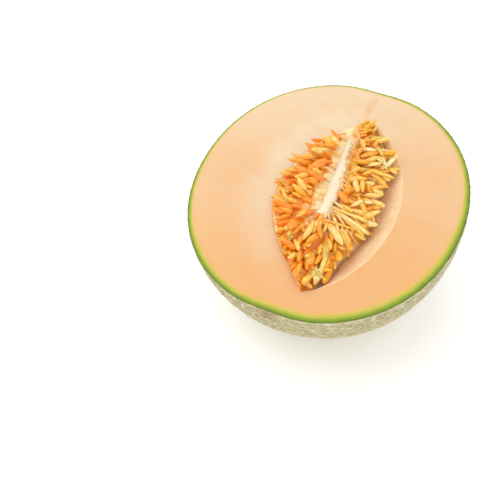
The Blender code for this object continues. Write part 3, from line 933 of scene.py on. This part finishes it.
seedMake = {
    "spacing": 0.0043,
    "rowShare": 0.87,
    "scatter": 0.55,  # how far each strays from its place, as a share of the spacing
    "length": 0.0094,
    "width": 0.0040,
    "thickness": 0.0031,
    "sizes": (0.62, 1.10),
    "bigShare": 0.10,  # of the seeds
    "bigSize": 1.35,
    "smallest": 0.45,
    "lift": 0.0003,
    "layers": ((0.0, 1.0), (0.0017, 0.7), (0.0032, 0.28)),  # height above the pulp, and share of places taken
    "narrowest": 0.0022,  # half width of the cavity under which it holds none
    "edges": (-0.95, 0.05),  # the left limit of their places, and the margin at the right
    "overhangs": (  # past the left edge: where along the cavity, and how far
        (-0.45, -0.15, 0.55, 0.75), (0.0010, 0.0022, 0.0026, 0.0),
    ),
    "beyondPulp": 0.13,  # share of the half width that they may reach past it at the right
    "ends": 0.975,  # how near the cavity's tips they come
    "triedAt": (0.15, 0.4, 0.65, 0.85, 1.0),  # shares of its length where each is tried for room
    "clear": (0.0046, 0.0026),  # between the ridge and their places, at its left and right
    "foot": -0.0130,  # below this y they lie over the ridge's foot
    "openReach": 0.021,  # where the long ones fan out, fewer short ones lie
    "openShare": 0.5,  # of the lowest stay there
    "rooted": 0.36,  # share of its length behind its place
    "fan": 0.55,
    "strayShare": 0.25,  # of the seeds lie anyhow
    "stray": 1.6,
    "standShare": (0.24, 0.06),  # of the seeds stand up, at the left and at the right
    "stand": (0.8, 1.7),  # how steeply
    "standLength": 0.75,
    "droop": (-0.05, 0.42),
    "clubs": (0.55, 0.80),  # how rounded their free ends are, at the left and at the right
    "riseLeft": 0.40,
    "riseRight": 0.12,
    "riseStep": (-0.9, 0.5),
    "riseScatter": (-0.26, 0.34),
    "steepest": 0.62,
    "rightLength": 1.14,  # seeds on the right are longer and slimmer
    "rightSlim": 0.70,
    "edgeLength": 1.05,  # and so are the pointed ones along the left edge
    "edgeSlim": 0.80,
    "leftToRight": (-0.2, 0.4),  # where across the cavity these things change
    "edgeFrom": (0.60, 0.80),
    "girths": (0.85, 1.15),
    "tone": (0.22, 0.40),  # how pale at the left, and how much more at the right
    "toneScatter": (-0.30, 0.40),
    "rings": 13,
    "sides": 12,
    "finish": (0.27, 0.5, 0.6, (0.0015, 0.0013, 0.0008), 0.55, 0.10),
    "colours": [
        (0.0, (255, 140, 4)), (0.3, (255, 165, 28)), (0.6, (255, 196, 76)), (0.85, (255, 218, 126)),
        (1.0, (255, 232, 166)),
    ],
    "rootColour": (255, 144, 18),
    "mottle": (0.0022, 4.0, 0.6),
    "mottled": 0.18,
    "grain": (0.0007, 3.0, 0.6),
    "grainRelief": (0.00018, 0.6),
    "seed": 23,
}

fingerMake = {  # slim seeds that fan out from the ridge's lower end
    "count": 11,
    "middle": (0.0030, -0.0050),
    "wander": 0.0034,  # of that middle from one to the next
    "start": (0.0040, 0.0140),  # distance from the middle
    "turns": (-12, -118),  # degrees from straight right, anticlockwise
    "turnScatter": 11,
    "lengths": (0.0150, 0.0100),
    "lengthScatter": (0.7, 1.15),
    "widths": (0.0017, 0.0030),
    "above": (0.0016, 0.0036),  # over the pulp
    "rise": (-0.05, 0.10),
    "tones": (0.20, 0.80),
    "seed": 41,
}

chosenSeeds = {  # the ones that stand out: from, to, width and tone
    "lines": [
        ((0.0054, -0.0070), (0.0305, -0.0057), 0.0026, 0.80),
        ((0.0072, -0.0081), (0.0300, -0.0127), 0.0028, 0.85),
        ((0.0031, -0.0164), (0.0262, -0.0123), 0.0014, 0.50),
        ((0.0081, -0.0169), (0.0198, -0.0247), 0.0050, 0.85),
        ((0.0168, -0.0160), (0.0236, -0.0240), 0.0030, 0.70),
        ((0.0013, -0.0204), (0.0000, -0.0333), 0.0036, 0.75),
        ((0.0034, -0.0204), (0.0082, -0.0267), 0.0028, 0.30),
        ((0.0156, 0.0054), (0.0245, -0.0030), 0.0029, 0.55),
        ((0.0094, 0.0152), (0.0143, 0.0084), 0.0038, 0.80),
        ((0.0134, 0.0167), (0.0168, 0.0093), 0.0028, 0.60),
        ((0.0162, 0.0213), (0.0286, 0.0164), 0.0026, 0.45),
        ((0.0069, 0.0302), (0.0146, 0.0376), 0.0036, 0.30),
        ((-0.0077, 0.0184), (-0.0150, 0.0085), 0.0050, 0.10),
        ((0.0046, 0.0042), (0.0122, 0.0000), 0.0040, 0.25),
    ],
    "above": 0.0036,  # over the pulp
    "flatness": 0.7,  # thickness as a share of the width
    "clear": 0.0012,  # how far beside them no other seed lies on top
}


def edgeRoom(along, across):  # how far out a seed may reach there
    halfWidth = cavityEdge(along, across)
    if across < 0:
        return halfWidth + float(np.interp(along, *seedMake["overhangs"]))
    return halfWidth * min(rightLimit(along) + seedMake["beyondPulp"], 0.97)


def seedFits(root, outward, length, width, thickness):
    for share in seedMake["triedAt"]:
        girth = 0.5 * min(1, 2.2 * (1.05 - share))
        along, across, height = cavityPlace(root + outward * float(length * share))
        reach = abs(across) * cavityEdge(along, across)
        if abs(along) > seedMake["ends"] or reach > edgeRoom(along, across):
            return False
        low = height - girth * thickness - 0.0002
        if low < 0:
            room = wallAcross(across, -low / max(cavityDepth(along), 1e-4)) * cavityEdge(along, across)
            if reach > room - girth * width - 0.0003:
                return False
    return True


def besideChosen(spot):
    for start, end, width, _ in chosenSeeds["lines"]:
        away, _ = lineDistance(np.array([spot]), [start, end])
        if away[0] < 0.5 * width + chosenSeeds["clear"]:
            return True
    return False


def seedPlaces(draw):
    make = seedMake
    stray = make["scatter"] * make["spacing"]
    rows = round(2 * cavity["halfLength"] / (make["spacing"] * make["rowShare"]))
    columns = round(2 * cavity["halfWidth"] / make["spacing"]) + 2
    for (height, taken), row, column in product(make["layers"], range(rows + 1), range(columns)):
        along = 0.985 * (2 * row / rows - 1) + draw.uniform(-stray, stray) / cavity["halfLength"]
        offset = column + 0.5 * (row % 2) - 0.5 * columns + 0.5 * (height > 0)
        side = offset * make["spacing"] + draw.uniform(-stray, stray)
        keep = draw.random() < taken
        width = cavityEdge(along, side)
        if not keep or width < make["narrowest"]:
            continue
        across = side / width
        if not make["edges"][0] < across < rightLimit(along) - make["edges"][1]:
            continue
        spot = cavityPoint(along, side, 0)
        fan = spot - Vector((*fingerMake["middle"], 0))
        fanned = fan.length < make["openReach"] and fan.y < -0.3 * abs(fan.x)
        if fanned and (height > 0 or draw.random() > make["openShare"]):
            continue
        centre, halfWidth = nearestOnRidge(spot)
        clear = halfWidth + make["clear"][spot.x > centre.x]
        if (spot - centre).length < clear and spot.y > make["foot"]:
            continue
        if height == 0 or not besideChosen(spot):
            yield along, side, across, height


def seedBody(size, club, bend, twist):  # size is length, width and thickness
    make = seedMake
    t = 0.5 - 0.5 * np.cos(pi * np.linspace(0.05, 1, make["rings"] + 1)[:-1])
    rise, fall = mix(0.42, 0.60, club), mix(1.15, 0.34, club)
    peak = rise / (rise + fall)
    girth = 0.5 * t ** rise * (1 - t) ** fall / (peak ** rise * (1 - peak) ** fall)
    turns = np.linspace(0, 2 * pi, make["sides"], endpoint=False)
    wrinkle = 1 + 0.09 * np.sin(2 * turns + twist)[None, :] * np.sin(8 * t + twist)[:, None]
    around = girth[:, None] * wrinkle
    bow = (size[0] * (t - t * t))[:, None]
    x = (t * size[0])[:, None] + 0 * turns[None, :]
    y = size[1] * around * np.cos(turns)[None, :] + bend[1] * bow
    z = size[2] * around * np.sin(turns)[None, :] + bend[0] * bow
    rings = np.stack([x, y, z], axis=-1).reshape(-1, 3)
    tips = [(-0.02 * size[0], 0, 0), (size[0], 0, 0)]
    return np.concatenate([rings, tips]), [*np.repeat(t, make["sides"]), 0, 1]


def seedAim(along, side, across, draw):  # which way a seed points from its place
    make = seedMake
    spot = cavityPoint(along, side, 0)
    outward = (spot - nearestOnRidge(spot)[0]).normalized()
    fan = make["stray"] if draw.random() < make["strayShare"] else make["fan"]
    outward += Vector((draw.uniform(-fan, fan), draw.uniform(-fan, fan) - draw.uniform(*make["droop"]), 0))
    outward.normalize()
    outward.z = mix(make["riseLeft"], make["riseRight"], ease(across, *make["riseStep"]))
    outward.z += draw.uniform(*make["riseScatter"])
    standing = draw.random() < make["standShare"][across > 0] and -0.6 < across and along < 0.45
    if standing:
        outward.z = draw.uniform(*make["stand"])
    return outward.normalized(), standing


def looseSeeds(draw):  # root, direction, size, club, tone of each seed that fits
    make = seedMake
    for along, side, across, height in seedPlaces(draw):
        outward, standing = seedAim(along, side, across, draw)
        root = cavityPoint(along, side, pulpHeight(along, across) + make["lift"] + height)
        right = ease(across, *make["leftToRight"])
        edge = ease(-across, *make["edgeFrom"])
        scale = draw.uniform(*make["sizes"])
        if draw.random() < make["bigShare"]:
            scale = make["bigSize"]
        slim = mix(1, make["rightSlim"], right) * mix(1, make["edgeSlim"], edge)
        slim *= draw.uniform(*make["girths"])
        long = mix(1, make["rightLength"], right) * mix(1, make["edgeLength"], edge)
        if standing:
            long *= make["standLength"]
        size = np.array([make["length"] * long, make["width"] * slim, make["thickness"] * slim])
        club = min(max(mix(*make["clubs"], right) - 0.7 * edge + draw.uniform(-0.35, 0.35), 0), 1)
        tone = make["tone"][0] + make["tone"][1] * right + draw.uniform(*make["toneScatter"])
        tone += (0.10 if height else -0.06) + 0.1 * standing
        root -= make["rooted"] * float(size[0]) * outward
        while scale >= make["smallest"] and not seedFits(root, outward, *(size * scale)):
            if outward.z < make["steepest"]:
                outward = (outward + Vector((0, 0, 0.08))).normalized()
            else:
                scale *= 0.95
        if scale >= make["smallest"]:
            yield root, outward, size * scale, club, tone


def laidSeed(root, ahead, size, above, rise):  # set on the pulp, and shortened until it fits
    length = size[0]
    far = pulpUnder(root + ahead * 0.6 * length)
    root.z = max(pulpUnder(root), far) + above
    ahead.z = rise + min((far + 0.7 * above - root.z) / (0.7 * length), 0)
    ahead.normalize()
    size = np.array(size)
    while not seedFits(root, ahead, *size) and size[0] > 0.4 * length:
        size[0] *= 0.96
    return root, ahead, size


def fingers(draw):  # the same for the slim ones round the ridge's lower end
    make = fingerMake
    for i in range(make["count"]):
        share = i / (make["count"] - 1)
        turn = radians(mix(*make["turns"], share) + draw.uniform(-1, 1) * make["turnScatter"])
        ahead = Vector((cos(turn), sin(turn), 0))
        stray = Vector((draw.uniform(-1, 1), draw.uniform(-1, 1), 0)) * make["wander"]
        root = Vector((*make["middle"], 0)) + stray + ahead * draw.uniform(*make["start"])
        length = mix(*make["lengths"], share ** 0.7) * draw.uniform(*make["lengthScatter"])
        width = draw.uniform(*make["widths"])
        size = (length, width, 0.85 * width)
        laid = laidSeed(root, ahead, size, draw.uniform(*make["above"]), draw.uniform(*make["rise"]))
        yield *laid, draw.uniform(0.5, 0.9), draw.uniform(*make["tones"])


def standouts(draw):  # and for the chosen ones
    make = chosenSeeds
    for start, end, width, tone in make["lines"]:
        root, ahead = Vector((*start, 0)), Vector((*end, 0)) - Vector((*start, 0))
        size = (ahead.length, width, make["flatness"] * width)
        laid = laidSeed(root, ahead.normalized(), size, make["above"], 0)
        yield *laid, draw.uniform(0.55, 0.85), tone


def makeSeeds():
    draw = random.Random(seedMake["seed"])
    fingerDraw = random.Random(fingerMake["seed"])
    points, faces, tones, runs = [], [], [], []
    for root, outward, size, club, tone in [*looseSeeds(draw), *fingers(fingerDraw), *standouts(fingerDraw)]:
        bend = (draw.uniform(-0.14, 0.22), draw.uniform(-0.16, 0.16))
        if size[0] > 2 * seedMake["length"]:
            bend = (0.04, draw.uniform(-0.05, 0.05))
        body, run = seedBody(size, club, bend, draw.uniform(0, 6.28))
        rollRange = 1.5 if size[2] > 0.72 * size[1] else 0.3
        roll = Matrix.Rotation(draw.uniform(-rollRange, rollRange), 3, "X")
        turn = outward.to_track_quat("X", "Z").to_matrix() @ roll
        faces += closedTube(seedMake["rings"], seedMake["sides"], len(tones))
        points.append(body @ np.array(turn).T + np.array(root))
        tones += [tone] * len(body)
        runs += run
    look = makeWetLook("wetSeed", "tone", seedMake)
    makePiece("melonSeeds", np.concatenate(points), faces, "seeds", [look], {"tone": tones, "run": runs})
    print(len(points), "seeds are made")


makeSeeds()

# Strands: the fibres that tie the seeds to the ridge

strandMake = {
    "count": 26,
    "length": (0.004, 0.010),
    "thick": (0.00055, 0.00120),
    "long": 3,  # long ones over the lower right
    "longFrom": (0.0050, -0.0020),
    "longTo": (0.0320, -0.0120),
    "longThick": 0.00085,
    "bow": 0.0010,
    "steps": 14,
    "sides": 8,
    "finish": (0.30, 0.5, 0.4, (0.0020, 0.0014, 0.0008), 0.4, 0.12),
    "colours": [(0.0, (253, 228, 186)), (0.4, (254, 208, 138)), (1.0, (250, 166, 62))],
    "mottle": (0.002,),
    "mottled": 0.2,
    "grain": (0.0006,),
    "grainRelief": (0.0001, 0.5),
    "seed": 5,
}


def tube(path, radii, sides):  # points of a tapering tube with closed ends
    points = []
    for i, (spot, radius) in enumerate(zip(path, radii)):
        ahead = path[min(i + 1, len(path) - 1)] - path[max(i - 1, 0)]
        turn = ahead.normalized().to_track_quat("X", "Z").to_matrix()
        for j in range(sides):
            angle = 2 * pi * j / sides
            points.append(spot + turn @ Vector((0, radius * cos(angle), radius * sin(angle))))
    return points + [path[0], path[-1]]


def makeStrands():
    make = strandMake
    draw = random.Random(make["seed"])
    points, faces, runs = [], [], []
    steps = [step / (make["steps"] - 1) for step in range(make["steps"])]
    for i in range(make["count"] + make["long"]):
        if i < make["count"]:
            centre, halfWidth = ridgeAt(draw.uniform(0.02, 1.0))
            side = draw.choice((-1, 1))
            start = centre + Vector((side * halfWidth * 0.6, 0, -0.0010 - draw.uniform(0, 0.0014)))
            ahead = Vector((side, draw.uniform(-1.3, 0.5) - 0.6 * (centre.y < -0.008), 0)).normalized()
            end = start + ahead * draw.uniform(*make["length"])
            thick = draw.uniform(*make["thick"])
            above = draw.uniform(0.0004, 0.0018)
        else:
            place = (i - make["count"]) / (make["long"] - 1)
            start = Vector((*make["longFrom"], -0.0012)) + Vector((0.004 * place, -0.010 * place, 0))
            end = Vector((*make["longTo"], 0)) + Vector((-0.010 * place, -0.016 * place, 0))
            thick = make["longThick"] * draw.uniform(0.8, 1.15)
            above = draw.uniform(0.0026, 0.0042)
        bow = draw.uniform(-make["bow"], make["bow"])
        path, radii = [], []
        for t in steps:
            spot = start.lerp(end, t) + Vector((0, bow * sin(pi * t), 0))
            laid = pulpUnder(spot, 0.97) + above * (1 - 0.5 * t * t)
            spot.z = mix(start.z, laid, ease(t, 0, 0.45))
            path.append(spot)
            radii.append(thick * (1 - 0.55 * t) * sqrt(max(1 - (2 * max(t - 0.5, 0)) ** 6, 0.02)))
        points += tube(path, radii, make["sides"])
        faces += closedTube(make["steps"], make["sides"], len(runs))
        runs += [*np.repeat(steps, make["sides"]), 0, 1]
    look = makeWetLook("palePulpStrand", "run", make)
    makePiece("pulpStrands", points, faces, "seeds", [look], {"run": runs})


makeStrands()
print("the strands are made")
